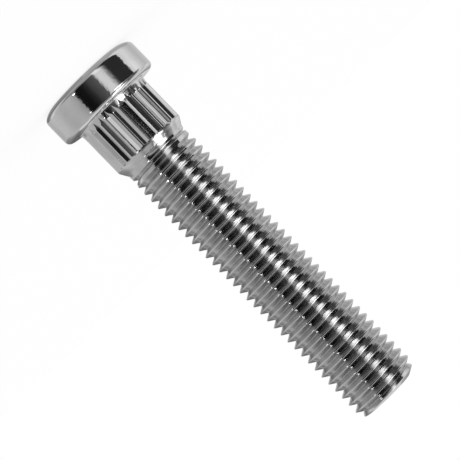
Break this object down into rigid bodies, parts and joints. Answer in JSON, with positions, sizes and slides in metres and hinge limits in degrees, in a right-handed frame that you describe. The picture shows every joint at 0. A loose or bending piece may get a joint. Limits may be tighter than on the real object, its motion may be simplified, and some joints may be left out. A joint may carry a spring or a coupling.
{
  "type": "wheel stud",
  "caption": "Press-in wheel stud with a flat round head, a serrated shank, a short taper and a long right-hand fine-thread shank, bright plated.",
  "frame": {"origin": "centre of the flat top of the head, which the stud stands on", "axes": "+Z along the stud, from the head to the threaded point; a serration crest lies towards +X"},
  "size_m": [0.018, 0.018, 0.0672],
  "materials": {
    "plated_steel": "bright plated steel, polished on the head and faintly streaked round the thread"
  },
  "bodies": {
    "root": {"wheel_stud": "plated_steel"}
  },
  "joints": []
}
